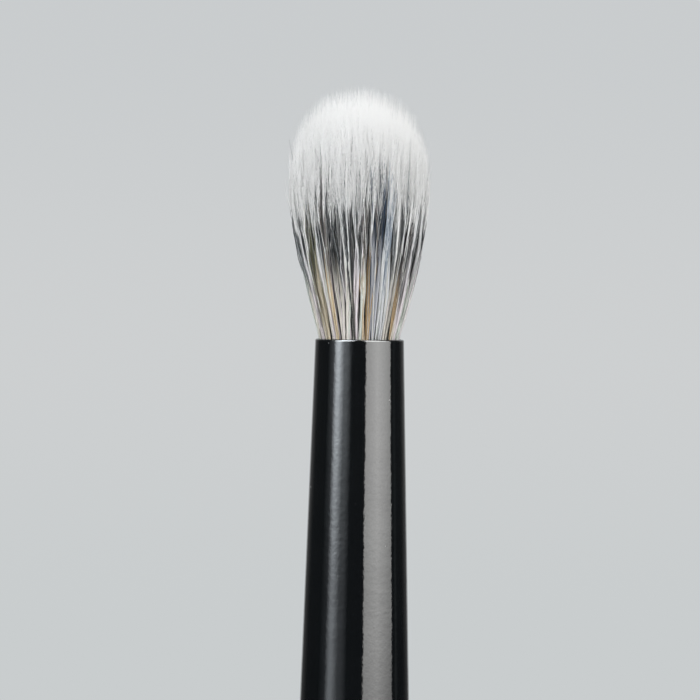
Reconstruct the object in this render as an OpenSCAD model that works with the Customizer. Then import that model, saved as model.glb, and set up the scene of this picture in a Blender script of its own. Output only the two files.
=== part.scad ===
// Eyeshadow blending brush: a soft domed tuft of long white and shorter dark hairs, tied and
// glued in a tapered metal ferrule, which is crimped on the tenon of a turned and lacquered handle.
// Millimetres. +Z runs along the brush towards the hair. The origin is the middle of the flat butt.

/* [Hair] */
// Height of the hair above the ferrule's mouth
head_h = 17.9; // [15:0.1:24]
// Width of the hair at its fullest level
head_d = 10.2; // [8:0.1:14]
// Height of the fullest level above the ferrule's mouth
belly_h = 11.5; // [8:0.1:13]
// Thickness of one lock of hair where it leaves the mouth
lock_t = 0.2; // [0.17:0.01:0.24]
// Least room between neighbouring locks of a row, before they are shuffled
lock_gap = 0.045; // [0.03:0.005:0.08]

/* [Ferrule] */
// Outer diameter at the mouth
mouth_d = 6.4; // [6:0.1:8]
// Outer diameter at the handle end
ferrule_base_d = 8.8; // [8.2:0.1:9.4]
// Length of the ferrule
ferrule_l = 42; // [36:0.5:50]
// Thickness of the metal
ferrule_wall = 0.2; // [0.15:0.01:0.3]
// Rounding of the lip's outer edge
lip_r = 0.13; // [0.05:0.01:0.14]
// Number of crimped rings
crimps = 2; // [1:1:3]
// Height of the first crimp above the ferrule's handle end
crimp_start = 4.5; // [3:0.1:5]
// Distance from one crimp to the next
crimp_pitch = 3.4; // [2.6:0.1:4]
// Width of a crimp
crimp_w = 1.5; // [0.8:0.1:2]
// Depth of a crimp
crimp_depth = 0.28; // [0.1:0.01:0.4]

/* [Knot] */
// Depth of the top of the hair's glued root below the mouth
root_top = 0.5; // [0.3:0.1:1]
// Thickness of the slice of root that carries the hairs
root_slice = 0.8; // [0.5:0.1:1]
// Depth of the foot of the tied bundle below the mouth
bundle_depth = 8; // [7:0.1:9]
// Diameter of the bundle where the thread draws it in
waist_d = 5; // [4:0.1:5.2]
// Diameter of the bundle's foot below the thread
foot_d = 5.4; // [4.6:0.1:5.6]
// Thickness of the binding thread
thread_d = 0.3; // [0.15:0.01:0.3]
// Turns of the binding thread
thread_turns = 5; // [3:1:6]
// Depth of the top of the glue below the mouth
glue_top = 3.5; // [2:0.1:4]
// Depth of the bottom of the glue below the mouth
glue_bottom = 9.5; // [9.2:0.1:12]

/* [Handle] */
// Length of the handle below the ferrule
handle_l = 118; // [90:1:140]
// How far the shoulder stands out round the ferrule's end
shoulder_step = 0.2; // [0.15:0.01:0.4]
// Rounding of the shoulder's edge
shoulder_r = 0.12; // [0.05:0.01:0.15]
// Length of the swell from the shoulder to the barrel
neck_l = 7; // [4:0.5:10]
// Diameter of the straight barrel
barrel_d = 9.8; // [9.6:0.1:11]
// Length of the straight barrel
barrel_l = 16; // [8:1:24]
// Diameter of the tail above the rounded butt
tail_d = 5.4; // [4.5:0.1:7]
// Height of the rounding at the butt
butt_h = 2.6; // [1:0.1:4]
// Diameter of the flat end face
butt_flat_d = 2.6; // [1.6:0.1:3]
// Length of the tenon inside the ferrule
tenon_l = 16; // [12:0.5:20]
// Chamfer of the tenon's end
tenon_chamfer = 0.6; // [0.2:0.1:1]
// Thickness of the glue around the tenon
tenon_glue_t = 0.1; // [0.05:0.01:0.2]

/* [Hidden] */

$fn = 96;
arc_steps = 8;                                  // steps of a rounded edge in a turned profile
taper_steps = 36;                               // steps of the handle's long taper
overrun = 0.1;                                  // how far a cut or a fused foot runs past its face

mouth_z = handle_l + ferrule_l;                 // the ferrule's mouth
tenon_top_z = handle_l + tenon_l;

// The tuft is made of concentric layers, from the outside in, each with one kind of hair on its own
// ring of glued root. Every layer has one row of locks, but the innermost is a disc with several.
// All radii are shares of the root's radius, which every lock keeps as the tuft swells.
layer_edge_shares = [1, 0.905, 0.81, 0.715, 0.615, 0.51, 0.405, 0];
core_row_shares = [0.35, 0.225, 0.095];
white_layers = [0, 2, 4, 6];
dark_layers = [1, 3, 5];
dark_height_share = 0.74;                       // how high the dark locks reach beside the white
ragged_share = 0.07;                            // how much shorter the shortest lock of a row is
shuffle_share = 0.08;                           // sideways shuffle, as a share of the locks' spacing
closing_share = 0.1;                            // how far the tuft draws in above the belly
flare_power = 1.3;                              // shape of the swell from the mouth to the belly
bend_shares = [0, 0.42, 0.86];                  // where a lock bends, as shares of its length
girth_shares = [1, 1.5, 1.75];                  // its thickness there, as shares of lock_t
lock_sides = 3;
points_per_lock = len(bend_shares) * lock_sides + 1;
shuffle_seed = 11;

bundle_fit = 0.03;                              // room between the bundle and the ferrule's bore
bundle_r = ferrule_inner_r(ferrule_l) - bundle_fit;
outer_row_share = (layer_edge_shares[0] + layer_edge_shares[1]) / 2;
belly_r = (head_d / 2 - lock_t / 2 * max(girth_shares)) / outer_row_share;
root_foot = -root_top - root_slice;             // the underside of the slice, from the mouth
lock_foot = -root_top - root_slice / 2;         // the locks start in the middle of the slice

thread_press_share = 0.9;                       // turns are pressed together by this much
thread_pitch = thread_d * thread_press_share;
winding_h = (thread_turns - 1) * thread_pitch + thread_d;
waist_foot = -bundle_depth + thread_d;          // the lower end of the drawn-in waist

shoulder_d = ferrule_base_d + 2 * shoulder_step;
taper_power = 1.5;                              // shape of the long taper from barrel to tail

// Turned profiles

// Bell of height 1 over u from -1/2 to 1/2
function bell(u) = abs(u) < 0.5 ? (1 + cos(360 * u)) / 2 : 0;
// Smooth step from 0 to 1
function ease(u) = (1 - cos(180 * u)) / 2;
function crimp_z(i) = crimp_start + i * crimp_pitch;
function crimp_at(z) = crimp_depth * max([for (i = [0:crimps - 1]) bell((z - crimp_z(i)) / crimp_w)]);

// Radii of the ferrule and of the tenon in it, at height z above the ferrule's handle end
function ferrule_r(z) =
    ferrule_base_d / 2 + (mouth_d - ferrule_base_d) / 2 * z / ferrule_l - crimp_at(z);
function ferrule_inner_r(z) = ferrule_r(z) - ferrule_wall;
function tenon_r(z) = ferrule_inner_r(z) - tenon_glue_t;

// Heights at which a profile needs a point so that it follows the crimps
crimp_levels = [for (i = [0:crimps - 1]) for (k = [0:arc_steps])
                crimp_z(i) + crimp_w * (k / arc_steps - 1 / 2)];

// Radius of the handle at distance d below the ferrule
function handle_r(d) =
    d < neck_l ? shoulder_d / 2 + (barrel_d - shoulder_d) / 2 * ease(d / neck_l)
    : d <= neck_l + barrel_l ? barrel_d / 2
    : barrel_d / 2 + (tail_d - barrel_d) / 2
      * pow(sin(90 * (d - neck_l - barrel_l) / (handle_l - butt_h - neck_l - barrel_l)), taper_power);

// Outline of the handle's body from the shoulder down to the butt, [radius, height]
body_outline = concat(
    [for (k = [0:arc_steps])
        let (a = 90 - 90 * k / arc_steps)
        [handle_r(0) - shoulder_r + shoulder_r * cos(a), handle_l - shoulder_r + shoulder_r * sin(a)]],
    [for (k = [1:arc_steps - 1])
        let (d = shoulder_r + (neck_l - shoulder_r) * k / arc_steps) [handle_r(d), handle_l - d]],
    [[barrel_d / 2, handle_l - neck_l], [barrel_d / 2, handle_l - neck_l - barrel_l]],
    [for (k = [1:taper_steps])
        let (z = (handle_l - neck_l - barrel_l - butt_h) * (1 - k / taper_steps) + butt_h)
        [handle_r(handle_l - z), z]],
    [for (k = [1:arc_steps])
        let (a = 90 * k / arc_steps)
        [butt_flat_d / 2 + (tail_d - butt_flat_d) / 2 * cos(a), butt_h * (1 - sin(a))]]);

// Hair

// Radius of the whole tuft at height z above the mouth
function tuft_r(z) =
    z <= 0 ? bundle_r
    : z < belly_h ? bundle_r + (belly_r - bundle_r) * pow(sin(90 * z / belly_h), flare_power)
    : belly_r * (1 - closing_share * pow((z - belly_h) / (head_h - belly_h), 2));

// Height of the dome over a lock that stands at a share of the radius
function dome_h(share) = belly_h + (head_h - belly_h) * sqrt(1 - share * share);

// Rows of a layer, as shares of the radius, and the number of locks in a row
function rows_of(layer) =
    layer_edge_shares[layer + 1] > 0 ? [(layer_edge_shares[layer] + layer_edge_shares[layer + 1]) / 2]
    : core_row_shares;
function locks_in(share) = floor(2 * PI * share * bundle_r / (lock_t + lock_gap));

// Where the middle of a lock is at height z
function lock_mid(angle, share, z) = share * tuft_r(z) * [cos(angle), sin(angle), 0] + [0, 0, z];

// Points of one lock: rings from the foot up, then the tip
function lock_points(angle, share, tip) = concat(
    [for (k = [0:len(bend_shares) - 1]) for (s = [0:lock_sides - 1])
        let (side = angle + 360 * s / lock_sides)
        lock_mid(angle, share, lock_foot + bend_shares[k] * (tip - lock_foot))
        + lock_t / 2 * girth_shares[k] * [cos(side), sin(side), 0]],
    [lock_mid(angle, share, tip)]);

// Triangles of one lock whose points start at index o
function lock_faces(o) = let (n = lock_sides, top = o + n * (len(bend_shares) - 1)) concat(
    [[for (s = [0:n - 1]) o + s]],
    [for (k = [0:len(bend_shares) - 2]) for (s = [0:n - 1]) for (upper = [false, true])
        let (p = o + n * k + s, q = o + n * k + (s + 1) % n)
        upper ? [q, p + n, q + n] : [p, p + n, q]],
    [for (s = [0:n - 1]) [top + s, top + n, top + (s + 1) % n]]);

// One row of locks as a polyhedron of separate closed locks
module lock_row(share, height_share, seed) {
    locks = locks_in(share);
    shuffle = rands(-shuffle_share, shuffle_share, locks, seed);
    cut = rands(0, ragged_share, locks, seed + 1);
    polyhedron(
        points = [for (j = [0:locks - 1])
            each lock_points(360 / locks * (j + shuffle[j]), share,
                             dome_h(share) * height_share * (1 - cut[j]))],
        faces = [for (j = [0:locks - 1]) each lock_faces(j * points_per_lock)]);
}

// Slice of glued root under one layer: a ring, or a disc in the middle
module root_ring(layer) {
    translate([0, 0, root_foot])
        difference() {
            cylinder(r = bundle_r * layer_edge_shares[layer], h = root_slice);
            if (layer_edge_shares[layer + 1] > 0)
                translate([0, 0, -overrun])
                    cylinder(r = bundle_r * layer_edge_shares[layer + 1], h = root_slice + 2 * overrun);
        }
}

module hair_layer(layer, height_share) {
    rows = rows_of(layer);
    translate([0, 0, mouth_z])
        union() {
            root_ring(layer);
            for (i = [0:len(rows) - 1])
                lock_row(rows[i], height_share, shuffle_seed + 10 * layer + 2 * i);
        }
}

module white_hairs() {
    color("WhiteSmoke")
        for (layer = white_layers)
            hair_layer(layer, 1);
}

module dark_hairs() {
    color([0.2, 0.2, 0.21])
        for (layer = dark_layers)
            hair_layer(layer, dark_height_share);
}

// Knot

// The hair below the carried slice, drawn in by the thread to a waist and splayed again at its foot
module root_bundle() {
    waist_top = waist_foot + winding_h;
    full_r = ferrule_inner_r(ferrule_l - glue_top) - bundle_fit;
    color("Tan")
        translate([0, 0, mouth_z])
            rotate_extrude()
                polygon(concat(
                    [[0, root_foot], [ferrule_inner_r(ferrule_l + root_foot) - bundle_fit, root_foot]],
                    [for (k = [0:arc_steps])
                        [full_r + (waist_d / 2 - full_r) * ease(k / arc_steps),
                         -glue_top + (waist_top + glue_top) * k / arc_steps]],
                    [[waist_d / 2, waist_foot], [foot_d / 2, waist_foot], [foot_d / 2, -bundle_depth],
                     [0, -bundle_depth]]));
}

// Turns of thread pressed side by side round the waist
module binding_thread() {
    color("Ivory")
        translate([0, 0, mouth_z + waist_foot])
            rotate_extrude()
                for (i = [0:thread_turns - 1])
                    translate([waist_d / 2, thread_d / 2 + i * thread_pitch])
                        intersection() {
                            circle(d = thread_d, $fn = 24);
                            translate([0, -thread_d])
                                square([thread_d, 2 * thread_d]);
                        }
}

// Resin poured in from behind, round the tied bundle and across the bore
module knot_glue() {
    bottom = ferrule_l - glue_bottom;
    top = ferrule_l - glue_top;
    color([0.75, 0.6, 0.3])
        difference() {
            translate([0, 0, handle_l])
                rotate_extrude()
                    polygon([[0, bottom], [ferrule_inner_r(bottom), bottom], [ferrule_inner_r(top), top],
                             [0, top]]);
            root_bundle();
            binding_thread();
        }
}

// Ferrule

module ferrule() {
    lip_z = ferrule_l - lip_r;
    lip_mid = ferrule_r(lip_z) - lip_r;
    color([0.06, 0.06, 0.07])
        translate([0, 0, handle_l])
            rotate_extrude()
                polygon(concat(
                    [[ferrule_inner_r(0), 0], [ferrule_r(0), 0]],
                    [for (z = crimp_levels) [ferrule_r(z), z]],
                    [for (k = [0:arc_steps]) let (a = 90 * k / arc_steps)
                        [lip_mid + lip_r * cos(a), lip_z + lip_r * sin(a)]],
                    [[ferrule_inner_r(ferrule_l), ferrule_l]],
                    [for (i = [len(crimp_levels) - 1:-1:0])
                        [ferrule_inner_r(crimp_levels[i]), crimp_levels[i]]]));
}

// Handle

// Thin sleeve of glue between the tenon and the ferrule, from the shoulder to the tenon's end
module tenon_glue() {
    top = tenon_l - tenon_chamfer;
    color([0.85, 0.8, 0.6])
        translate([0, 0, handle_l])
            rotate_extrude()
                polygon(concat(
                    [[tenon_r(0), 0], [ferrule_inner_r(0), 0]],
                    [for (z = crimp_levels) [ferrule_inner_r(z), z]],
                    [[ferrule_inner_r(top), top], [tenon_r(top), top]],
                    [for (i = [len(crimp_levels) - 1:-1:0]) [tenon_r(crimp_levels[i]), crimp_levels[i]]]));
}

// Turned wood, lacquered below the ferrule, with the crimps' dents in its tenon
module handle() {
    top = tenon_l - tenon_chamfer;
    color([0.04, 0.04, 0.045])
        rotate_extrude()
            polygon(concat(
                [[0, 0]],
                [for (i = [len(body_outline) - 1:-1:0]) body_outline[i]],
                [[tenon_r(0), handle_l]],
                [for (z = crimp_levels) [tenon_r(z), handle_l + z]],
                [[tenon_r(top), handle_l + top], [tenon_r(top) - tenon_chamfer, tenon_top_z],
                 [0, tenon_top_z]]));
}

white_hairs();
dark_hairs();
root_bundle();
binding_thread();
knot_glue();
ferrule();
tenon_glue();
handle();
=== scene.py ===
import math

import bpy
import numpy as np
from mathutils import Matrix, Vector


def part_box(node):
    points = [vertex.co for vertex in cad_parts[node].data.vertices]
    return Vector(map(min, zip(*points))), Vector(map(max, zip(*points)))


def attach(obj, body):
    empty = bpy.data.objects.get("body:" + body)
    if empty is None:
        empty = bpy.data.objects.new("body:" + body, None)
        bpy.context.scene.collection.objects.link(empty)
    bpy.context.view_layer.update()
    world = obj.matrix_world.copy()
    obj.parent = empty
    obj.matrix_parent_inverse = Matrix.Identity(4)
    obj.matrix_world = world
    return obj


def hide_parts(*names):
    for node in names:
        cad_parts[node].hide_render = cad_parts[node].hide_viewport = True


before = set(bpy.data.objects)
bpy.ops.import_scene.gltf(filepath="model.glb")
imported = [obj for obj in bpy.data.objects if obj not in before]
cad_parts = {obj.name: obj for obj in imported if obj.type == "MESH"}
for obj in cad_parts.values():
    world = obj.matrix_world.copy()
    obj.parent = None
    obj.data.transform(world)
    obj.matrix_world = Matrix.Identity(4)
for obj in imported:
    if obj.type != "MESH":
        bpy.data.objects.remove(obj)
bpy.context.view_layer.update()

mm = 0.001
ferruleLow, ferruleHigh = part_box("ferrule")
hairLow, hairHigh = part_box("white_hairs")
mouthZ = ferruleHigh.z          # where the hair comes out
shoulderZ = ferruleLow.z        # where the handle goes into the ferrule
tuftTop = (hairHigh.z - mouthZ) / mm
tuftHalfWidth = (hairHigh.x - hairLow.x) / 2 / mm
plugBottom = (hairLow.z - mouthZ) / mm
print("frame loaded, mouth at", round(mouthZ / mm, 1), "mm, hair", round(tuftTop, 1), "mm tall")


# shader maths: a wire is one output socket, and sums on wires add the nodes

class Wire:
    def __init__(self, board, socket):
        self.board = board
        self.socket = socket

    def other(self, name):  # another output of the same node
        return Wire(self.board, self.socket.node.outputs[name])

    def joined(self, operation, first, second):
        isVector = any(isinstance(x, tuple) or getattr(x, "socket", None) is not None
                       and x.socket.type in ("RGBA", "VECTOR") for x in (first, second))
        kind = "ShaderNodeVectorMath" if isVector else "ShaderNodeMath"
        return self.board.add(kind, {"operation": operation}, {0: first, 1: second})

    def __add__(self, x):
        return self.joined("ADD", self, x)

    def __radd__(self, x):
        return self.joined("ADD", x, self)

    def __sub__(self, x):
        return self.joined("SUBTRACT", self, x)

    def __rsub__(self, x):
        return self.joined("SUBTRACT", x, self)

    def __mul__(self, x):
        return self.joined("MULTIPLY", self, x)

    def __rmul__(self, x):
        return self.joined("MULTIPLY", x, self)

    def __truediv__(self, x):
        return self.joined("DIVIDE", self, x)

    def __rtruediv__(self, x):
        return self.joined("DIVIDE", x, self)

    def __gt__(self, x):
        return self.joined("GREATER_THAN", self, x)


class Board:  # one node tree and the way nodes are put on it
    def __init__(self, tree):
        self.tree = tree
        self.tree.nodes.clear()

    def add(self, kind, settings=None, inputs=None, output=0):
        node = self.tree.nodes.new(kind)
        for name, value in (settings or {}).items():
            if name == "stops":
                self.setStops(node.color_ramp, value)
            else:
                setattr(node, name, value)
        for name, value in (inputs or {}).items():
            socket = node.inputs[name]
            if isinstance(value, Wire):
                self.tree.links.new(value.socket, socket)
            elif socket.type in ("RGBA", "VECTOR") and isinstance(value, (int, float)):
                socket.default_value = [value] * len(socket.default_value)
            elif socket.type == "RGBA" and len(value) == 3:
                socket.default_value = (*value, 1)
            else:
                socket.default_value = value
        return Wire(self, node.outputs[output]) if node.outputs else node

    def setStops(self, ramp, stops):
        while len(ramp.elements) > 1:
            ramp.elements.remove(ramp.elements[-1])
        for i, (place, colour) in enumerate(stops):
            stop = ramp.elements[0] if i == 0 else ramp.elements.new(place)
            stop.position = place
            stop.color = (*colour, 1) if isinstance(colour, tuple) else (colour, colour, colour, 1)

    def blend(self, factor, low, high):  # low where factor is 0, high where it is 1
        mix = self.add("ShaderNodeMix", {"data_type": "RGBA"}, {0: factor, 6: low, 7: high})
        return mix.other(2)

    def ramp(self, factor, *stops):
        return self.add("ShaderNodeValToRGB", {"stops": stops}, {0: factor})

    def fade(self, value, start, end, low=0.0, high=1.0):  # smooth step between two values
        return self.add("ShaderNodeMapRange", {"interpolation_type": "SMOOTHSTEP"},
                        {0: value, 1: start, 2: end, 3: low, 4: high})

    def grain(self, place, scale, detail=2.0, roughness=0.5, stretch=None):
        if stretch:
            place = self.add("ShaderNodeVectorMath", {"operation": "MULTIPLY"}, {0: place, 1: stretch})
        return self.add("ShaderNodeTexNoise", {},
                        {"Vector": place, "Scale": scale, "Detail": detail, "Roughness": roughness})

    def bump(self, height, distance, strength=1.0, under=None):
        inputs = {"Height": height, "Distance": distance, "Strength": strength}
        if under:
            inputs["Normal"] = under
        return self.add("ShaderNodeBump", {}, inputs)

    def finish(self, **inputs):
        shader = self.add("ShaderNodeBsdfPrincipled", {},
                          {name.replace("_", " "): value for name, value in inputs.items()})
        self.add("ShaderNodeOutputMaterial", {}, {"Surface": shader})


noiseSpan = (0.3, 0.7)  # where most of a noise texture's values lie


def newBoard(name):
    material = bpy.data.materials.new(name)
    material.use_nodes = True
    return material, Board(material.node_tree)


def placeOn(board):  # the point on the object, in metres
    return board.add("ShaderNodeTexCoord", output="Object")


def heightOf(board, place):
    return board.add("ShaderNodeSeparateXYZ", {}, {0: place}, output="Z")


def putInScene(name, data):
    obj = bpy.data.objects.new(name, data)
    bpy.context.scene.collection.objects.link(obj)
    return obj


def dress(obj, material):
    obj.data.materials.clear()
    obj.data.materials.append(material)


# hair

hair = {
    "seed": 5,
    "tresses": 340,             # bundles that lie apart at the root, each of one tone
    "locks": 1400,              # tight locks in the tresses, which open out to one soft mass
    "hairsPerLock": 9,
    "placeTurn": 0.02,          # radians that they stand off their even places
    "placeJitter": 0.12,        # the same sideways, as a share of the room that one has
    "rimRoom": 0.6,             # of that room, which stays free at the rim
    "rim": 0.995,               # of the tuft's radius, where the outermost hairs stand

    # the tuft, in mm above the mouth
    "rootRadius": 2.95,         # the filled bore at the mouth
    "foot": -0.9,               # where the hairs start inside the plug
    "bellyHeight": 11.5,
    "bellyPlump": 0.04,         # how far the soft mass stands out over the CAD strands
    "flare": 1.05,              # more keeps the tuft slim for longer
    "domeLift": 0.55,           # how far the longest tips stand over the CAD strands
    "domeFullness": 2.31,       # 2 is an ellipse, more is squarer
    "domeSteps": 241,           # heights at which a hair is tried against the dome
    "lean": -0.28,              # to the left, at the top
    "fan": 0.2,                 # how much wider the hairs would stand at the top, if they all reached it

    # how the hairs of a tress and of a lock lie together, at heights in mm
    "tressAt": (0, 3, 7, 11),                # where a tress is drawn in on itself,
    "tressPull": (0.48, 0.42, 0.22, 0),      # by these shares
    "disorder": 0.14,           # every second lock is a cord, white all along and tight up to the cap,
                                # but this share changes places
    "spreadAt": (0, 8, 12, 18),              # where the locks spread to these widths;
    "looseSpread": (0.7, 1.1, 3, 6),         # at 1 a lock fills its own room
    "cordSpread": (0.55, 0.38, 1.6, 6),

    # slow drifts sideways, as shares of the tuft's radius, and their half waves over its height
    "wanderStart": -0.5,        # mm, where they begin
    "wanderOver": 4.2,          # mm, over which they grow to their full size
    "tressWander": 0.07,
    "tressWaves": (1, 1.7),
    "lockWander": 0.085,
    "lockWaves": (1, 2.2, 3.4),
    "hairWander": 0.012,        # in a lock that fills its room
    "hairWaves": (2, 3.5),
    "crossers": 0.24,           # share of the hairs that cross others below the cap
    "crosserWander": 0.045,
    "crosserWaves": (1.6, 2.8),

    # the edge and the tips
    "edge": 0.99,               # of the radius, where the tuft's edge lies
    "softEdge": 0.012,          # how unevenly the outermost hairs keep to it at the belly
    "softEdgeFrom": 5.5,        # mm, where that begins
    "softEdgeMost": 1.2,        # of the way to the belly, up to which it grows
    "strays": 400,              # hairs that lean out past the edge
    "strayFrom": 0.75,          # of the radius, outside which they stand
    "strayLean": 0.045,         # how far the last of them leans out
    "strayRarity": 1.5,
    "ragged": 0.045,            # tips fall short of the dome by up to this share, a few by more
    "raggedTail": 0.12,
    "raggedRarity": (1.6, 7),   # how rare the full share is, for either

    # wisps, the locks of short dark hairs that end in one point among the white, in mm
    "wispShare": 0.5,           # of the locks that aren't cords
    "wispFrom": 8.3,            # they reach from here up to the next height,
    "wispTo": 15.8,
    "wispRarity": (1.5, 8),     # few in front and fewest at the two sides
    "wispSurface": 0.86,        # of the radius, outside which they lie at the surface
    "innerWisp": 9.2,           # how high the others reach
    "wispStretch": 1.03,        # of its height, which a wisp's longest hair takes
    "wispThinning": 0.24,       # its hairs fall short by up to this share,
    "wispThinAt": (8, 2),       # which comes in over the second height from the first on,
    "wispThinLeast": 0.4,       # but no lower than this
    "wispSpreadAt": (0.45, 1),  # shares of its height, where its hairs spread to these widths
    "wispSpread": (0.75, 0.2),
    "wispDark": (6.5, 0.22),    # above this height its colours climb only at this rate
    "wispJitter": (-0.6, 0.3),  # how far its colours lie off, down or up the hair

    # one hair
    "thickness": 0.066,         # mm
    "thicknessRange": (0.75, 1.2),
    "thicknessAt": (0, 0.5, 0.72, 0.9),      # shares of the length, where it tapers to these shares
    "thicknessShare": (1, 0.92, 0.6, 0.3),

    # tones
    "strangers": 0.08,          # share of a lock's hairs that are of the other kind
    "tintShare": 0.8,           # of the hairs of a tinted tress
    "tressUnity": 0.45,         # how much the hairs of a tress are alike in tone,
    "lockUnity": 0.28,          # and those of a lock
    "hueUnity": 0.8,            # share of the hairs in their tress's hue; the others take their lock's
    # painted shade: roots inside the tuft are darkened, down to the share below, for the shade deep in the
    # tuft
    "paintedShadeAt": (0.86, 0.93),    # shares of the radius between which the roots turn from painted shade to their own tone
    "paintedShadeLevel": 0.05,

    # where the colours lie along a hair, in mm
    "bandFollowsTip": 0.42,     # how far they keep their distance from the tip
    "middleTip": 12.6,          # tips at this height have the colours where the ramps put them
    "lockJitter": 0.75,         # up or down the hair, for a lock
    "hairJitter": 0.4,          # and for one hair
    "highShare": 0.1,           # of the hairs, whose band ends higher
    "highWithin": 0.85,         # of the radius, within which they stand
    "highLift": 2.2,
    "highLeast": 0.3,           # of that lift
    "edgeDrop": 0.7,            # how much lower the band sits in the outermost hairs
    "edgeDropAt": (0.75, 0.2),  # share of the radius from which it comes in, and over which
    "sideDrop": 0.8,            # the same at the left and right
    "sideDropAt": (0.3, 0.5),

    # shading
    "softAt": (0, 7, 11, 18),                # mm, heights at which the hairs shade as one soft mass,
    "softShare": (0.32, 0.36, 0.15, 0.2),    # by these shares
    "softTip": (4.2, 0.5),      # mm from the tip, and the share right at it
    "softBelow": -0.2,          # how far the mass's shading turns down below the belly
}
hairLevels = np.array([0, 0.08, 0.19, 0.33, 0.5, 0.69, 0.89, 1])   # rings along a hair, then the tip
sidesPerHair = 3
lanes = 60                      # strips of the hair map, one tone each
hues = 3                        # the lanes run from dark to light once for each hue
mapLow, mapHigh = -7.0, 23.0    # mm, the heights that the hair map covers
mapMargin = 0.1                 # mm, free at both ends
laneCorners = (0.2, 0.5, 0.8)   # where a hair's corners lie across its lane
footRise = 0.02                 # of a level, so that the foot isn't flat on the map

# tresses of another tone: where they stand, in degrees from the camera, + to the right, and how
# strongly they are drawn in, times the others
accents = {
    "gold": {"angles": (6.5, 10.5, -34, 48), "pull": 0.6},
    "olive": {"angles": (-55, -48), "pull": 0.5},
    "navy": {"angles": (15, 19.5), "pull": 0.4},
    "blue": {"angles": (25, 29.5), "pull": 0.5},
    # near-black hair drawn in tight at a dark gap between the tresses; its dark is partly painted shade for
    # the gap
    "dark": {"angles": (-9,), "pull": 1.6},
}
accentShare = 0.95              # of the radius, where they stand
chanceTones = {                 # other tresses that take a tone by chance
    "share": 0.12,
    "outside": 0.9,             # of the radius
    "beyond": 95,               # degrees from the camera
}
toneLanes = {"dark": (0, 14), "navy": (14, 22), "blue": (22, 30), "olive": (30, 42), "gold": (42, 60)}

rng = np.random.default_rng(hair["seed"])


def chance(count):
    return rng.uniform(0, 1, count)


def comesIn(value, start, over):  # 0 up to the start, 1 from its end on
    return np.clip((value - start) / over, 0, 1)


def tuftRadius(z):
    swell = np.sin(comesIn(z, 0, hair["bellyHeight"]) * math.pi / 2) ** hair["flare"]
    over = comesIn(z, hair["bellyHeight"], tuftTop - hair["bellyHeight"])
    belly = tuftHalfWidth + hair["bellyPlump"] - hair["thickness"] / 2
    return (hair["rootRadius"] + (belly - hair["rootRadius"]) * swell) * (1 + hair["fan"] * over)


def domeTip(share):  # the height at which a hair meets the dome
    over = np.linspace(0, 1, hair["domeSteps"])
    across = share[:, None] * (1 + hair["fan"] * over)
    inside = across ** hair["domeFullness"] + over ** hair["domeFullness"] < 1
    domeHeight = tuftTop + hair["domeLift"] - hair["bellyHeight"]
    return hair["bellyHeight"] + domeHeight * inside.sum(1) / len(over)


def heightsOf(tip):  # the heights of the levels of hairs with these tips
    return hair["foot"] + (tip - hair["foot"])[:, None] * hairLevels[None, :]


def wander(z, amount, waves):
    # slow sideways drift that starts at nothing in the root
    drift = np.zeros((*z.shape, 2))
    for wave in waves:
        turn = rng.uniform(0, 2 * math.pi, (len(z), 1))
        size = rng.normal(0, 1 / len(waves), (len(z), 2)) * amount
        drift += np.sin(turn + wave * z / tuftTop * math.pi)[..., None] * size[:, None, :]
    grow = comesIn(z, hair["wanderStart"], hair["wanderOver"])
    return drift * (grow * grow * (3 - 2 * grow))[..., None]


def readAlong(rows, along):  # values given at the hair levels, read at shares of the length
    left = np.clip(np.searchsorted(hairLevels, along.ravel(), "right").reshape(along.shape) - 1,
                   0, len(hairLevels) - 2)
    part = (along - hairLevels[left]) / (hairLevels[left + 1] - hairLevels[left])
    return (np.take_along_axis(rows, left, 1) * (1 - part)
            + np.take_along_axis(rows, left + 1, 1) * part)


def scatter(count):  # even places on the unit disc, a little disturbed
    room = math.sqrt(1 / count)
    k = np.arange(count)
    ring = np.sqrt((k + 0.5) / count) * (1 - room * hair["rimRoom"])
    turn = k * math.pi * (3 - math.sqrt(5)) + rng.normal(0, hair["placeTurn"], count)
    place = np.stack([ring * np.cos(turn), ring * np.sin(turn)], 1)
    return place + rng.normal(0, room * hair["placeJitter"], place.shape)


def placeTresses():
    # the free tress nearest to an accent's place moves there
    place = scatter(hair["tresses"])
    tone = np.full(hair["tresses"], "", dtype=object)
    for name, accent in accents.items():
        for angle in accent["angles"]:
            turn = math.radians(angle)
            spot = accentShare * np.array([math.sin(turn), -math.cos(turn)])
            away = ((place - spot) ** 2).sum(1)
            nearest = np.argmin(np.where(tone == "", away, np.inf))
            place[nearest] = spot
            tone[nearest] = name
    return place, tone


def wispTips(lockPlace, lock):  # the height of every hair's tip, if it is in a wisp
    front, sides = hair["wispRarity"]
    rarity = front + (sides - front) * np.abs(lockPlace[:, 0])
    tip = hair["wispFrom"] + (hair["wispTo"] - hair["wispFrom"]) * chance(hair["locks"]) ** rarity
    isOuter = np.hypot(*lockPlace.T) > hair["wispSurface"]
    tip = np.where(isOuter, tip, np.minimum(tip, hair["innerWisp"]))[lock]
    start, over = hair["wispThinAt"]
    thinning = hair["wispThinning"] * chance(len(lock))
    thinning = thinning * np.clip((tip - start) / over, hair["wispThinLeast"], 1)
    return tip * (hair["wispStretch"] - thinning)


def keepInside(flat, z, share):
    # nothing leans out past the tuft's soft edge, but for the strays
    length = np.hypot(flat[..., 0], flat[..., 1])
    start = hair["softEdgeFrom"]
    rise = np.clip((z - start) / (hair["bellyHeight"] - start), 0, hair["softEdgeMost"]) ** 2
    limit = hair["edge"] + rng.normal(0, hair["softEdge"], (len(z), 1)) * rise
    strays = rng.choice(np.flatnonzero(share > hair["strayFrom"]), hair["strays"], replace=False)
    lean = hair["strayLean"] * chance((hair["strays"], 1)) ** hair["strayRarity"] * rise[strays]
    flat[strays] *= (1 + lean)[..., None]
    limit[strays] += lean
    return flat * np.minimum(1, limit / np.maximum(length, 1e-6))[..., None]


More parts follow.
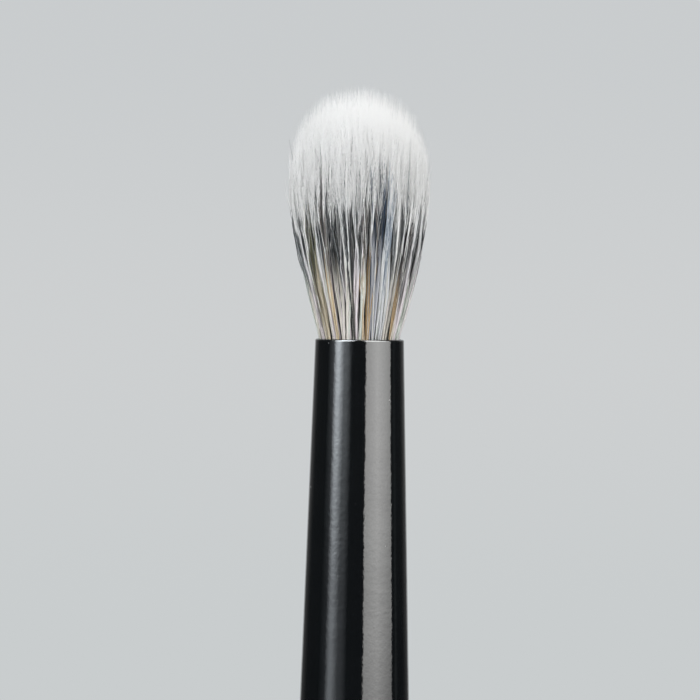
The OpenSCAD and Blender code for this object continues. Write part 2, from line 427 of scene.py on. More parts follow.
def growHairs():
    total = hair["locks"] * hair["hairsPerLock"]
    lockPlace = scatter(hair["locks"])
    lock = np.repeat(np.arange(hair["locks"]), hair["hairsPerLock"])
    tressPlace, toneOfTress = placeTresses()
    apart = lockPlace[:, None, :] - tressPlace[None, :, :]
    tressOfLock = np.argmin((apart ** 2).sum(2), 1)
    tress = tressOfLock[lock]

    spread = np.sqrt(chance(total)) * math.sqrt(1 / hair["locks"])
    spin = rng.uniform(0, 2 * math.pi, total)
    offset = np.stack([spread * np.cos(spin), spread * np.sin(spin)], 1)
    share = np.clip(np.hypot(*(lockPlace[lock] + offset).T), 0, hair["rim"])

    often, seldom = hair["raggedRarity"]
    short = hair["ragged"] * chance(total) ** often + hair["raggedTail"] * chance(total) ** seldom
    isCord = (np.arange(hair["locks"]) % 2 == 0) != (chance(hair["locks"]) < hair["disorder"])
    isWisp = (~isCord & (chance(hair["locks"]) < hair["wispShare"]))[lock]
    isCord = isCord[lock]
    tip = np.where(isWisp, wispTips(lockPlace, lock), domeTip(share) * (1 - short))
    z = heightsOf(tip)

    loose = np.interp(z, hair["spreadAt"], hair["looseSpread"])
    tight = np.interp(z, hair["spreadAt"], hair["cordSpread"])
    pointed = np.interp(z / tip[:, None], hair["wispSpreadAt"], hair["wispSpread"])
    width = np.where(isWisp[:, None], pointed, np.where(isCord[:, None], tight, loose))
    flat = lockPlace[lock][:, None, :] + offset[:, None, :] * width[..., None]
    strength = np.array([accents[tone]["pull"] if tone else 1 for tone in toneOfTress])
    pull = np.interp(z, hair["tressAt"], hair["tressPull"]) * strength[tress][:, None]
    flat += (tressPlace[tress][:, None, :] - flat) * pull[..., None]

    # a tress and a lock drift as one, read at each hair's own heights
    fullZ = heightsOf(np.array([tuftTop]))
    tressDrift = wander(fullZ.repeat(hair["tresses"], 0), hair["tressWander"], hair["tressWaves"])
    lockDrift = wander(fullZ.repeat(hair["locks"], 0), hair["lockWander"], hair["lockWaves"])
    lockDrift += tressDrift[tressOfLock]
    along = (z - hair["foot"]) / (tuftTop - hair["foot"])
    for axis in (0, 1):
        flat[..., axis] += readAlong(lockDrift[lock, :, axis], along)
    flat += wander(z, hair["hairWander"], hair["hairWaves"]) * width[..., None]
    crossing = np.where(chance((total, 1)) < hair["crossers"], hair["crosserWander"], 0)
    flat += wander(z, crossing, hair["crosserWaves"]) * np.minimum(width, 1)[..., None]

    # a hair that has wandered ends on the dome where it now stands
    shareAtTip = np.clip(np.hypot(*flat[:, -1].T), 0, hair["rim"])
    tip = np.where(isWisp, tip, domeTip(shareAtTip) * (1 - short))
    z = heightsOf(tip)
    flat = keepInside(flat, z, share)
    middle = np.concatenate([flat * tuftRadius(z)[..., None], z[..., None]], 2)
    middle[..., 0] += hair["lean"] * comesIn(z, 0, tuftTop)
    azimuth = np.degrees(np.arctan2(tressPlace[:, 0], -tressPlace[:, 1]))
    return {"lock": lock, "tress": tress, "share": share, "tip": tip, "middle": middle, "z": z,
            "tressShare": np.hypot(*tressPlace.T), "tressAzimuth": azimuth, "toneOfTress": toneOfTress,
            "isCord": isCord, "isWisp": isWisp}


def sortHairs(grown):
    # the kind of every hair and its lane on the map: locks lean to one kind, with others mixed in
    lock, tress, share, isWisp = (grown[name] for name in ("lock", "tress", "share", "isWisp"))
    total = len(lock)
    tones = grown["toneOfTress"].copy()
    byChance = ((grown["tressShare"] > chanceTones["outside"])
                & (np.abs(grown["tressAzimuth"]) > chanceTones["beyond"])
                & (chance(hair["tresses"]) < chanceTones["share"]))
    tones[byChance] = rng.choice(list(toneLanes), int(byChance.sum()))
    stranger = chance(total) < hair["strangers"]
    isWhite = (grown["isCord"] != stranger) & ~isWisp
    inFront = grown["middle"][:, 0, 1] < 0
    white = np.where(inFront, "white_hair_front", "white_hair_back")
    kind = np.where(isWhite, white, "banded_hair").astype(object)
    kind[isWisp] = "wisp_hair"
    toneOfHair = tones[tress]
    isTinted = (toneOfHair != "") & (chance(total) < hair["tintShare"])
    kind[isTinted] = "tinted_hair"

    paintedInnerShade = np.interp(share, hair["paintedShadeAt"], (hair["paintedShadeLevel"], 1))   # painted shade: inner roots are darker, for the shade deep in the tuft
    lightness = (chance(hair["tresses"])[tress] * hair["tressUnity"]
                 + chance(hair["locks"])[lock] * hair["lockUnity"]
                 + chance(total) * (1 - hair["tressUnity"] - hair["lockUnity"]))
    hue = np.where(chance(total) < hair["hueUnity"], rng.integers(0, hues, hair["tresses"])[tress],
                   rng.integers(0, hues, hair["locks"])[lock])
    lane = np.floor((hue + np.clip(lightness * paintedInnerShade, 0, 0.999)) * lanes / hues).astype(int)
    for tone, (first, last) in toneLanes.items():
        chosen = isTinted & (toneOfHair == tone)
        lane[chosen] = rng.integers(first, last, int(chosen.sum()))

    # a shift upwards on the map puts the colours lower on the hair
    shift = (hair["bandFollowsTip"] * (hair["middleTip"] - grown["tip"])
             + rng.normal(0, hair["lockJitter"], hair["locks"])[lock]
             + rng.uniform(-1, 1, total) * hair["hairJitter"])
    shift += hair["edgeDrop"] * comesIn(share, *hair["edgeDropAt"])
    aside = np.abs(grown["middle"][:, 0, 0]) / hair["rootRadius"]
    shift += hair["sideDrop"] * comesIn(aside, *hair["sideDropAt"])
    isHigh = (chance(total) < hair["highShare"]) & (share < hair["highWithin"])
    shift[isHigh] -= hair["highLift"] * rng.uniform(hair["highLeast"], 1, int(isHigh.sum()))
    shift[isWisp] = rng.uniform(*hair["wispJitter"], int(isWisp.sum()))
    lowest = mapLow - hair["foot"] + mapMargin
    highest = mapHigh - tuftTop - hair["domeLift"] - mapMargin
    return kind, lane, np.clip(shift, lowest, highest)


def softNormals(points, own, tip, isWisp):
    # between the hair's own normals and the tuft's, so that the cap shades softly
    domeHeight = tuftTop - hair["bellyHeight"]
    over = np.clip((points[..., 2] - hair["bellyHeight"]) / domeHeight, hair["softBelow"], 1)
    mass = points / tuftHalfWidth
    mass[..., 2] = over * tuftHalfWidth / domeHeight
    mass /= np.linalg.norm(mass, axis=2, keepdims=True)
    soft = np.interp(points[..., 2], hair["softAt"], hair["softShare"])
    reach, most = hair["softTip"]
    atTip = np.interp(tip - points[..., 2], (0, reach), (most, 0))
    soft = np.where(isWisp, soft, np.maximum(soft, atTip))[..., None]
    normals = own * (1 - soft) + mass * soft
    return normals / np.linalg.norm(normals, axis=2, keepdims=True)


def trianglesOfHair(rings):
    # and for each of their corners its place across the lane and its level
    tipPoint = rings * sidesPerHair
    left, centre, right = laneCorners
    triangles = [[2, 1, 0]]
    corners = [[(right, 0), (centre, footRise), (left, 0)]]
    for k in range(rings):
        for s in range(sidesPerHair):
            t = (s + 1) % sidesPerHair
            a, b = k * sidesPerHair + s, k * sidesPerHair + t
            here, there = laneCorners[s], laneCorners[t]
            if k == rings - 1:
                triangles.append([a, b, tipPoint])
                corners.append([(here, k), (there, k), ((here + there) / 2, rings)])
            else:
                c, d = a + sidesPerHair, b + sidesPerHair
                triangles += [[a, b, d], [a, d, c]]
                corners += [[(here, k), (there, k), (there, k + 1)],
                            [(here, k), (there, k + 1), (here, k + 1)]]
    return np.array(triangles), np.array(corners)


def buildHairMesh(name, grown, chosen, lane, shift):
    middle = grown["middle"][chosen]
    z = grown["z"][chosen]
    isWisp = grown["isWisp"][chosen][:, None]
    count, levels = z.shape
    rings = levels - 1
    taper = np.interp(hairLevels[:rings], hair["thicknessAt"], hair["thicknessShare"])
    radius = hair["thickness"] / 2 * taper[None, :] * rng.uniform(*hair["thicknessRange"], (count, 1))
    turn = rng.uniform(0, 2 * math.pi, (count, 1)) + np.arange(sidesPerHair) * 2 * math.pi / sidesPerHair
    outwards = np.stack([np.cos(turn), np.sin(turn), np.zeros(turn.shape)], -1)[:, None]
    ringPoints = middle[:, :rings, None, :] + radius[..., None, None] * outwards
    points = np.concatenate([ringPoints.reshape(count, -1, 3), middle[:, -1:, :]], 1)
    own = np.concatenate([outwards.repeat(rings, 1).reshape(count, -1, 3), np.zeros((count, 1, 3))], 1)
    normals = softNormals(points, own, middle[:, -1, 2][:, None], isWisp)

    darkFrom, climb = hair["wispDark"]
    held = np.where(z > darkFrom, darkFrom + (z - darkFrom) * climb, z)
    colourHeight = np.where(isWisp, held, z) + shift[:, None]
    triangles, corners = trianglesOfHair(rings)
    across, level = corners[..., 0], corners[..., 1]
    low = np.floor(level).astype(int)
    high = np.minimum(low + 1, levels - 1)
    lift = level - low
    u = (lane[:, None, None] + across[None]) / lanes
    height = colourHeight[:, low] * (1 - lift) + colourHeight[:, high] * lift
    uv = np.stack([u, (height - mapLow) / (mapHigh - mapLow)], -1)
    pointsPerHair = rings * sidesPerHair + 1
    everyTriangle = (triangles[None] + (np.arange(count) * pointsPerHair)[:, None, None]).reshape(-1, 3)

    mesh = bpy.data.meshes.new(name)
    mesh.vertices.add(count * pointsPerHair)
    world = points.reshape(-1, 3) * mm + np.array([0, 0, mouthZ])
    mesh.vertices.foreach_set("co", world.astype(np.float32).ravel())
    mesh.loops.add(everyTriangle.size)
    mesh.loops.foreach_set("vertex_index", everyTriangle.astype(np.int32).ravel())
    mesh.polygons.add(len(everyTriangle))
    mesh.polygons.foreach_set("loop_start", np.arange(0, everyTriangle.size, 3, dtype=np.int32))
    mesh.update(calc_edges=True)
    mesh.polygons.foreach_set("use_smooth", np.ones(len(everyTriangle), bool))
    mesh.normals_split_custom_set_from_vertices(normals.reshape(-1, 3))
    layer = mesh.uv_layers.new(name="OFBake")
    layer.data.foreach_set("uv", uv.astype(np.float32).ravel())
    return putInScene(name, mesh)


hairFinish = {
    "roughness": (0.42, 0.65),      # below and in the cap
    "softFrom": (8.5, 12.5),        # mm above the mouth, where it changes
    "gloss": 0.25,
    "tip": (0.95, 0.95, 0.943),
    "bandLow": (3.8, 6.8),          # mm, where the band starts and is full
    "bandHigh": (9.75, 10.65),      # mm, where it starts to go and is gone
    "hueStops": [(0, (0.92, 1.0, 0.96)), (0.5, (1.0, 0.98, 0.93)), (1, (1.0, 0.94, 1.0))],
    "bandSeed": 77.5,               # deals the band's tones out to the lanes
    "streakSteps": (3.7, 0.7),      # through the noise, from lane to lane and for a mm up the hair
    "streakShade": (0.78, 0.98),    # of the streaks, random tone and painted shade, at the root and at the tip
}
# the tones of the lanes, from dark to light, at the root and in the band, and how far the band takes
# over; the dark end of the root tones also carries the inner roots' painted shade; with steps, each tone
# holds its own lanes, as in toneLanes
hairTones = {
    "white": {
        "root": [(0, (0.1, 0.096, 0.09)), (0.13, (0.4, 0.38, 0.35)), (0.24, (0.92, 0.9, 0.86)),
                 (1, (0.96, 0.95, 0.93))],
        "band": [(0, (0.58, 0.6, 0.61)), (0.3, (0.86, 0.875, 0.88)), (1, (0.95, 0.96, 0.96))],
        "bandDepth": 0.7,
    },
    "banded": {
        "root": [(0, (0.022, 0.021, 0.02)), (0.13, (0.11, 0.105, 0.098)), (0.23, (0.74, 0.72, 0.68)),
                 (1, (0.96, 0.94, 0.91))],
        "band": [(0, (0.01, 0.013, 0.016)), (0.4, (0.045, 0.05, 0.055)), (0.7, (0.16, 0.172, 0.18)),
                 (1, (0.42, 0.44, 0.45))],
        "bandDepth": 0.97,
    },
    "tinted": {
        "root": [(0, (0.02, 0.02, 0.022)), (0.23, (0.06, 0.055, 0.05)),
                 (0.24, (0.5, 0.52, 0.56)), (0.37, (0.7, 0.71, 0.76)),
                 (0.38, (0.72, 0.74, 0.75)), (0.5, (0.82, 0.83, 0.83)),
                 (0.51, (0.55, 0.46, 0.32)), (0.7, (0.78, 0.71, 0.57)),
                 (0.71, (0.42, 0.27, 0.12)), (0.85, (0.6, 0.42, 0.23)), (1, (0.76, 0.63, 0.44))],
        "band": [(0, (0.008, 0.009, 0.012)), (0.23, (0.03, 0.03, 0.035)),
                 (0.24, (0.008, 0.02, 0.042)), (0.37, (0.03, 0.052, 0.09)),
                 (0.38, (0.3, 0.36, 0.44)), (0.5, (0.46, 0.51, 0.57)),
                 (0.51, (0.16, 0.155, 0.09)), (0.7, (0.34, 0.33, 0.22)),
                 (0.71, (0.04, 0.035, 0.042)), (1, (0.2, 0.18, 0.17))],
        "bandDepth": 1.0,
        "steps": True,
    },
}


def hairMaterial(name, root, band, bandDepth, steps=False):
    material, board = newBoard(name)
    uvPlace = board.add("ShaderNodeUVMap", {"uv_map": "OFBake"})
    across = board.add("ShaderNodeSeparateXYZ", {}, {0: uvPlace})
    lane = board.add("ShaderNodeMath", {"operation": "FLOOR"}, {0: across * lanes})
    height = across.other("Y") * (mapHigh - mapLow) + mapLow
    ordered = (lane + 0.5) / lanes
    if steps:
        rootTone = board.ramp(ordered, *root)
        bandTone = board.ramp(ordered, *band)
    else:
        hue = board.add("ShaderNodeMath", {"operation": "FLOOR"}, {0: ordered * hues})
        hueTint = board.ramp(hue / (hues - 1), *hairFinish["hueStops"])
        rootTone = board.ramp(ordered * hues - hue, *root) * hueTint
        dealt = board.add("ShaderNodeTexWhiteNoise", {"noise_dimensions": "1D"},
                          {"W": lane + hairFinish["bandSeed"]})
        bandTone = board.ramp(dealt, *band)
    isBand = (board.fade(height, *hairFinish["bandLow"])
              * board.fade(height, *hairFinish["bandHigh"], low=1.0, high=0.0))
    isTip = board.fade(height, hairFinish["bandLow"][1], hairFinish["bandHigh"][1])
    ground = board.blend(isTip, rootTone, hairFinish["tip"])
    colour = board.blend(isBand * bandDepth, ground, bandTone)
    # streaks: darker patches along the hairs, random tone and painted shade in one
    perLane, perMm = hairFinish["streakSteps"]
    streak = board.grain(board.add("ShaderNodeCombineXYZ", {}, {0: lane * perLane, 1: height * perMm}), 1.0)
    rootShade, tipShade = hairFinish["streakShade"]
    colour = colour * board.fade(streak, *noiseSpan, isTip * (tipShade - rootShade) + rootShade, 1.0)
    above = (heightOf(board, placeOn(board)) - mouthZ) / mm
    rough = board.fade(above, *hairFinish["softFrom"], *hairFinish["roughness"])
    board.finish(Base_Color=colour, Roughness=rough, Specular_IOR_Level=hairFinish["gloss"])
    return material


whiteHair, bandedHair, tintedHair = (hairMaterial(tone + "Hair", **hairTones[tone]) for tone in hairTones)
hairMaterials = {
    "white_hair_front": whiteHair,
    "banded_hair": bandedHair,
    "tinted_hair": tintedHair,
    "white_hair_back": whiteHair,
    "wisp_hair": bandedHair,
}
hairStandsFor = {"white_hair_front": "white_hairs", "wisp_hair": "dark_hairs"}

grown = growHairs()
kindOfHair, laneOfHair, shiftOfHair = sortHairs(grown)
for name in hairMaterials:
    chosen = np.flatnonzero(kindOfHair == name)
    piece = buildHairMesh(name, grown, chosen, laneOfHair[chosen], shiftOfHair[chosen])
    dress(piece, hairMaterials[name])
    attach(piece, "root")
    if name in hairStandsFor:
        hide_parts(hairStandsFor[name])
    print(name, len(chosen), "hairs,", len(piece.data.polygons), "triangles")


# the slice of glued root that closes the ferrule's mouth

rootPlug = {
    "top": -0.5,              # mm from the mouth
    "radius": 2.95,
    "edgeDip": 0.12,          # mm that the resin's skin sinks towards the wall
    "dipCurve": 3,
    "rings": 7,
    "segments": 72,
    "endScale": 9000,         # hair ends per metre
    "endEdge": (0.2, 0.6),    # from the middle of an end to the skin between the ends
    "endTones": [(0, (0.16, 0.12, 0.08)), (0.5, (0.42, 0.34, 0.22)), (1, (0.7, 0.62, 0.48))],
    "skin": (0.12, 0.085, 0.05),
    "roughness": (0.5, 0.25),     # of an end and of the skin
    "bump": (2e-5, 0.6),      # m, and strength
}


def buildLathe(name, profile, segments):
    # profile: (radius, height) in mm from the axis outwards or round; a point on the axis closes it
    points, faces = [], []
    rows = []
    for r, z in profile:
        if r == 0:
            rows.append([len(points)])
            points.append((0, 0, z * mm))
        else:
            rows.append(list(range(len(points), len(points) + segments)))
            for i in range(segments):
                a = 2 * math.pi * i / segments
                points.append((r * mm * math.cos(a), r * mm * math.sin(a), z * mm))
    for low, high in zip(rows, rows[1:]):
        for i in range(segments):
            j = (i + 1) % segments
            if len(low) == 1:
                faces.append((low[0], high[i], high[j]))
            elif len(high) == 1:
                faces.append((low[i], high[0], low[j]))
            else:
                faces.append((low[i], high[i], high[j], low[j]))
    mesh = bpy.data.meshes.new(name)
    mesh.from_pydata(points, [], faces)
    mesh.update()
    mesh.polygons.foreach_set("use_smooth", np.ones(len(faces), bool))
    return putInScene(name, mesh)


def buildRootPlug():
    over = mouthZ / mm
    radius, top, dip = rootPlug["radius"], over + rootPlug["top"], rootPlug["edgeDip"]
    shares = [i / rootPlug["rings"] for i in range(rootPlug["rings"] + 1)]
    profile = [(radius * s, top - dip * s ** rootPlug["dipCurve"]) for s in shares]
    profile += [(radius, over + plugBottom), (0, over + plugBottom)]
    return buildLathe("hair_root_plug", profile, rootPlug["segments"])


def rootMaterial():
    material, board = newBoard("gluedRoot")
    cells = board.add("ShaderNodeTexVoronoi", {"feature": "F1"},
                      {"Vector": placeOn(board), "Scale": rootPlug["endScale"]})
    tone = board.ramp(cells.other("Color"), *rootPlug["endTones"])
    isSkin = board.fade(cells, *rootPlug["endEdge"])
    board.finish(Base_Color=board.blend(isSkin, tone, rootPlug["skin"]),
                 Roughness=board.fade(isSkin, 0, 1, *rootPlug["roughness"]),
                 Normal=board.bump(1 - isSkin, *rootPlug["bump"]))
    return material


plug = buildRootPlug()
dress(plug, rootMaterial())
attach(plug, "root")
print("root plug built")


# gloss black: the ferrule's coating and the handle's lacquer

gloss = {
    "black": (0.0041, 0.0052, 0.0061),
    "cloudScale": 160,        # per metre, as the other scales: slow changes of the black
    "cloudShare": 0.2,
    "roughness": 0.06,
    "smudgeScale": 420,       # where it is a little duller or clearer
    "smudge": 0.02,
    "ior": 1.6,
    "waveScale": 260,         # slow waves of the drawn metal
    "waveDepth": 3e-5,        # m
    "peelScale": 2600,        # orange peel
    "peelDepth": 6e-6,
    "grainScale": 9000,       # fine grain of the coating
    "grainDepth": 2.4e-6,
    "mottleScale": 11000,
    "mottle": 0.16,           # how far the coating's shine varies
    "mottleRoughness": 0.1,
    "dustScale": 900,
    "dustShare": 0.16,        # of the cells that hold a speck
    "dustSize": 0.035,        # of a dust cell
    "dustEdge": 1.6,          # times its size, where a speck ends
    "dustColour": (0.25, 0.25, 0.25),
    "dustRougher": 0.5,
}
bareWood = {
    "above": 0.01,            # mm over the handle's shoulder
    "light": (0.72, 0.55, 0.34),
    "dark": (0.5, 0.34, 0.18),
    "fibreScale": 900,
    "fibreStretch": (1, 1, 0.04),
    "fibreSpan": (0.35, 0.65),
    "rougher": 0.5,
}


def addDust(board, place):
    cells = board.add("ShaderNodeTexVoronoi", {"feature": "F1"},
                      {"Vector": place, "Scale": gloss["dustScale"]})
    size = board.add("ShaderNodeSeparateXYZ", {}, {0: cells.other("Color")})
    few = size > 1 - gloss["dustShare"]
    return board.fade(cells, gloss["dustSize"], gloss["dustSize"] * gloss["dustEdge"], 1.0, 0.0) * few


def glossBlack(name, woodAbove=None):
    material, board = newBoard(name)
    place = placeOn(board)
    dust = addDust(board, place)
    darkest = tuple(x * (1 - gloss["cloudShare"]) for x in gloss["black"])
    lightest = tuple(x * (1 + gloss["cloudShare"]) for x in gloss["black"])
    black = board.blend(board.grain(place, gloss["cloudScale"], 3), darkest, lightest)
    colour = board.blend(dust, black, gloss["dustColour"])
    rough = board.fade(board.grain(place, gloss["smudgeScale"], 4), *noiseSpan,
                       gloss["roughness"] - gloss["smudge"], gloss["roughness"] + gloss["smudge"])
    rough = rough + dust * gloss["dustRougher"]
    normal = None
    for layer, detail in (("wave", 1), ("peel", 1), ("grain", 2)):
        height = board.grain(place, gloss[layer + "Scale"], detail)
        normal = board.bump(height, gloss[layer + "Depth"], under=normal)
    if woodAbove is not None:
        bare = heightOf(board, place) > woodAbove
        fibres = board.grain(place, bareWood["fibreScale"], 4, 0.6, stretch=bareWood["fibreStretch"])
        wood = board.blend(board.fade(fibres, *bareWood["fibreSpan"]), bareWood["dark"], bareWood["light"])
        colour = board.blend(bare, colour, wood)
        rough = rough + bare * bareWood["rougher"]
    mottle = board.fade(board.grain(place, gloss["mottleScale"], 2), *noiseSpan, 0.0, gloss["mottle"])
    board.finish(Base_Color=colour, Roughness=rough, IOR=gloss["ior"], Coat_Weight=mottle,
                 Coat_Roughness=gloss["mottleRoughness"], Normal=normal)
    return material


dress(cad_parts["ferrule"], glossBlack("glossBlackCoating"))
dress(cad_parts["handle"],
      glossBlack("glossBlackLacquer", woodAbove=shoulderZ + bareWood["above"] * mm))


# pieces inside the ferrule; each bump is its depth in m and its strength

resin = {
    "cloudScale": 700,
    "bump": (2e-5, 0.4),
    "knotLight": (0.62, 0.46, 0.2),
    "knotDark": (0.42, 0.28, 0.1),
    "knotRoughness": 0.2,
    "tenonLight": (0.8, 0.74, 0.56),
    "tenonDark": (0.66, 0.58, 0.4),
    "tenonRoughness": 0.35,
}
bundle = {
    "strandScale": 2600,
    "strandStretch": (1, 1, 0.03),
    "tones": [(0.3, (0.14, 0.11, 0.08)), (0.5, (0.5, 0.43, 0.32)), (0.7, (0.75, 0.7, 0.6))],
    "roughness": 0.45,
    "bump": (3e-5, 0.7),
}
thread = {
    "twistScale": 1500,
    "twistDistortion": 2.0,
    "tones": [(0, (0.52, 0.48, 0.38)), (1, (0.86, 0.83, 0.75))],
    "roughness": 0.6,
    "bump": (3e-5, 0.8),
}


def resinMaterial(name, kind):
    material, board = newBoard(name)
    cloud = board.grain(placeOn(board), resin["cloudScale"], 4)
    board.finish(Base_Color=board.blend(cloud, resin[kind + "Dark"], resin[kind + "Light"]),
                 Roughness=resin[kind + "Roughness"], Normal=board.bump(cloud, *resin["bump"]))
    return material


def bundleMaterial():
    material, board = newBoard("boundHairRoots")
    strands = board.grain(placeOn(board), bundle["strandScale"], 3, 0.6, stretch=bundle["strandStretch"])
    board.finish(Base_Color=board.ramp(strands, *bundle["tones"]), Roughness=bundle["roughness"],
                 Normal=board.bump(strands, *bundle["bump"]))
    return material


def threadMaterial():
    material, board = newBoard("waxedThread")
    twist = board.add("ShaderNodeTexWave", {"bands_direction": "DIAGONAL"},
                      {"Vector": placeOn(board), "Scale": thread["twistScale"],
                       "Distortion": thread["twistDistortion"], "Detail": 2.0})
    board.finish(Base_Color=board.ramp(twist, *thread["tones"]), Roughness=thread["roughness"],
                 Normal=board.bump(twist, *thread["bump"]))
    return material


dress(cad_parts["root_bundle"], bundleMaterial())
dress(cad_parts["binding_thread"], threadMaterial())
dress(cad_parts["knot_glue"], resinMaterial("knotResin", "knot"))
dress(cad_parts["tenon_glue"], resinMaterial("tenonGlue", "tenon"))
print("finishes done")


# camera: close and level, with the tilt of the view that the brush is seen in

camera = {
    "focalLength": 200,       # mm
    "sensorWidth": 36,        # mm
    "nearest": 0.01,          # m
    "distance": 0.2796,       # m
    "elevation": 1.4,         # degrees above the horizon
    "lean": 0.82,             # degrees that the brush leans to the right
    "targetX": -0.68,         # mm
    "targetBelowMouth": 0.8,  # mm
}


def buildCamera():
    data = bpy.data.cameras.new("camera")
    data.lens = camera["focalLength"]
    data.sensor_width = camera["sensorWidth"]
    data.clip_start = camera["nearest"]
    obj = putInScene("camera", data)
    rise, lean = math.radians(camera["elevation"]), math.radians(camera["lean"])
    back = Vector((0, -math.cos(rise), math.sin(rise)))
    up = Vector((0, math.sin(rise), math.cos(rise)))
    side = Vector((1, 0, 0))
    right = side * math.cos(lean) + up * math.sin(lean)
    up = back.cross(right)
    target = Vector((camera["targetX"] * mm, 0, mouthZ - camera["targetBelowMouth"] * mm))
    turned = Matrix((right, up, back)).transposed().to_4x4()
    obj.matrix_world = Matrix.Translation(target + back * camera["distance"]) @ turned
    bpy.context.scene.camera = obj


# studio: pale surroundings, and a dim flag and soft boxes that show in the gloss alone

studio = {
    "background": (0.586, 0.606, 0.617),
    "backgroundMid": (0.612, 0.628, 0.635),
    "backgroundLow": (0.584, 0.61, 0.617),
    "meetAt": (-0.1, -0.02, 0.06),      # where they meet, as slopes of the look
    "ambient": 1.0,           # strength of the surroundings' light on the object
    "floorRings": (0, 60, 200, 450, 800, 1250),     # mm
    "floorSegments": 96,
    "floorColour": (0.5, 0.515, 0.52),
    "floorCloud": 14,         # per metre
    "floorShade": (0.98, 1.02),
    "floorFade": (0.2, 0.62),     # m from the brush, between which the floor turns to background
    "low": -2.4,              # m, the flag and the boxes run past the floor, which the gloss doesn't mirror
    "high": 2.0,
    "brightSpan": (0.2, 0.28),    # m, heights between which they brighten, for the rounded lip
    "brightTop": 2.6,
    "stripStep": 3,           # degrees for one of their faces
    "boxRadius": 0.4,
}
# azimuths in degrees from the camera, + to the right; glow is the radiance, and the profile gives its
# share across the strip; between the heights in fade (m) it goes down to the share in dim, given for
# both ends
flag = {
    "radius": 0.6, "from": -156, "to": 156, "glow": 0.3, "dim": (0.5, 0.5), "fade": (0.08, 0.165),
    "profile": [(0, 1), (0.1, 0.12), (0.9, 0.12), (1, 1)],
}
softBoxes = {
    "right": {"from": 16.7, "to": 85.7, "glow": 6.4, "dim": (0.6, 0.35), "fade": (0.08, 0.165),
              "colour": (1.0, 1.0, 0.985),
              "profile": [(0, 0.7), (0.2, 0.84), (0.45, 1.0), (0.7, 0.82), (1, 0.54)]},
    "left": {"from": -86, "to": -18, "glow": 8.8, "dim": (0.23, 0.23), "fade": (0.115, 0.195),
             "colour": (0.93, 1.0, 1.06),
             "profile": [(0, 0.0), (0.12, 0.04), (0.27, 0.1), (0.33, 0.5), (0.42, 1.0), (0.5, 1.0),
                         (0.6, 0.6), (0.7, 0.24), (0.83, 0.18), (0.92, 0.08), (1, 0.0)]},
    "leftTop": {"from": -74, "to": -14, "low": 0.22, "glow": 16, "colour": (0.95, 1.0, 1.03),
                "profile": [(0, 0.0), (0.15, 0.8), (0.5, 1.0), (0.85, 0.6), (1, 0.0)]},
    "edge": {"from": 95, "to": 102, "glow": 0.14, "colour": (0.9, 1.0, 1.0),
             "profile": [(0, 0.3), (0.3, 1.0), (1, 0.5)]},
}
lamps = {
    "top": {"place": (0.05, -0.1, 0.8), "size": 0.5, "power": 0.4},
    "front": {"place": (-0.2, -0.7, 0.13), "size": 0.5, "power": 0.79},
    "back": {"place": (0.25, 0.6, 0.6), "size": 0.5, "power": 1.9},
}


def buildStrip(name, radius, strip):  # shows in the gloss alone
    steps = int((strip["to"] - strip["from"]) / studio["stripStep"])
    steps = max(2, steps)
    low, high = strip.get("low", studio["low"]), studio["high"]
    points, faces, uvs = [], [], []
    for i in range(steps + 1):
        s = i / steps
        a = math.radians(strip["from"] + (strip["to"] - strip["from"]) * s)
        for z in (low, high):
            points.append((radius * math.sin(a), -radius * math.cos(a), z))
            uvs.append((s, (z - studio["low"]) / (high - studio["low"])))
    for i in range(steps):
        faces.append((2 * i, 2 * i + 1, 2 * i + 3, 2 * i + 2))
    mesh = bpy.data.meshes.new(name)
    mesh.from_pydata(points, [], faces)
    layer = mesh.uv_layers.new(name="glow")
    for loop, item in zip(mesh.loops, layer.data):
        item.uv = uvs[loop.vertex_index]
    obj = putInScene(name, mesh)
    obj.visible_camera = False
    obj.visible_diffuse = False
    obj.visible_shadow = False
    return obj


def glowMaterial(name, strip):
    material, board = newBoard(name)
    spot = board.add("ShaderNodeSeparateXYZ", {}, {0: board.add("ShaderNodeUVMap", {"uv_map": "glow"})})
    height = spot.other("Y") * (studio["high"] - studio["low"]) + studio["low"]
    first, last = strip.get("dim", (1, 1))
    dim = spot * (last - first) + first
    strength = (board.ramp(spot, *strip["profile"]) * strip["glow"]
                * board.fade(height, *strip.get("fade", (0, 1)), dim, 1.0)
                * board.fade(height, *studio["brightSpan"], 1.0, studio["brightTop"]))
    light = board.add("ShaderNodeEmission", {},
                      {"Color": strip.get("colour", (1, 1, 1)), "Strength": strength})
    board.add("ShaderNodeOutputMaterial", {}, {"Surface": light})
    return material


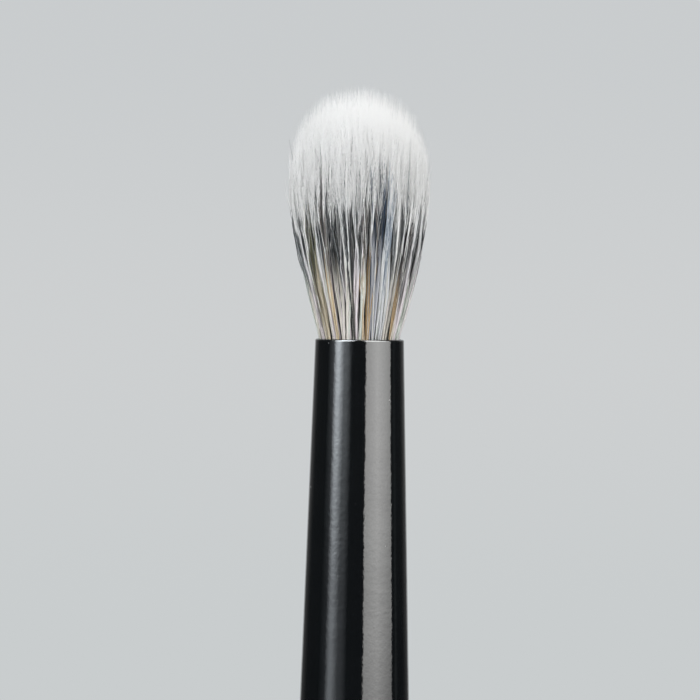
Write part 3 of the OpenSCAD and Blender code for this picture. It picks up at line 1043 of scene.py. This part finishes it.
def buildStudio():
    dress(buildStrip("flag", flag["radius"], flag), glowMaterial("flagBlack", flag))
    for name, box in softBoxes.items():
        dress(buildStrip("softBox_" + name, studio["boxRadius"], box), glowMaterial("glow_" + name, box))
    for name, lamp in lamps.items():
        data = bpy.data.lights.new(name, "AREA")
        data.shape = "DISK"
        data.size = lamp["size"]
        data.energy = lamp["power"]
        obj = putInScene("lamp_" + name, data)
        obj.location = lamp["place"]
        aim = Vector((0, 0, mouthZ)) - obj.location
        obj.rotation_euler = aim.to_track_quat("-Z", "Y").to_euler()
        obj.visible_glossy = False


def buildFloor():
    floor = buildLathe("floor", [(r, 0) for r in studio["floorRings"]], studio["floorSegments"])
    material, board = newBoard("paleFloor")
    place = board.add("ShaderNodeNewGeometry", output="Position")
    away = board.add("ShaderNodeVectorMath", {"operation": "LENGTH"}, {0: place}, output=1)
    cloud = board.fade(board.grain(place, studio["floorCloud"], 3), *noiseSpan, *studio["floorShade"])
    near = board.add("ShaderNodeBsdfDiffuse", {}, {"Color": cloud * studio["floorColour"]})
    far = board.add("ShaderNodeEmission", {}, {"Color": studio["backgroundLow"], "Strength": 1.0})
    mix = board.add("ShaderNodeMixShader", {}, {0: board.fade(away, *studio["floorFade"]), 1: near, 2: far})
    board.add("ShaderNodeOutputMaterial", {}, {"Surface": mix})
    dress(floor, material)
    floor.visible_glossy = False


def buildWorld():
    world = bpy.data.worlds.new("paleStudio")
    world.use_nodes = True
    bpy.context.scene.world = world
    board = Board(world.node_tree)
    look = board.add("ShaderNodeTexCoord", output="Generated")
    height = heightOf(board, look)
    low, middle, high = studio["meetAt"]
    shade = board.blend(board.fade(height, low, middle), studio["backgroundLow"], studio["backgroundMid"])
    shade = board.blend(board.fade(height, middle, high), shade, studio["background"])
    path = board.add("ShaderNodeLightPath")
    seen = path.other("Is Camera Ray") + path.other("Is Glossy Ray") + path.other("Is Transmission Ray")
    seen = board.add("ShaderNodeMath", {"operation": "MINIMUM"}, {0: seen, 1: 1.0})
    shown = board.add("ShaderNodeBackground", {}, {"Color": shade, "Strength": 1.0})
    light = board.add("ShaderNodeBackground", {}, {"Color": (1, 1, 1), "Strength": studio["ambient"]})
    mix = board.add("ShaderNodeMixShader", {}, {0: seen, 1: light, 2: shown})
    board.add("ShaderNodeOutputWorld", {}, {"Surface": mix})


buildCamera()
buildStudio()
buildFloor()
buildWorld()
bpy.context.scene.view_settings.view_transform = "Standard"
print("camera and studio done")
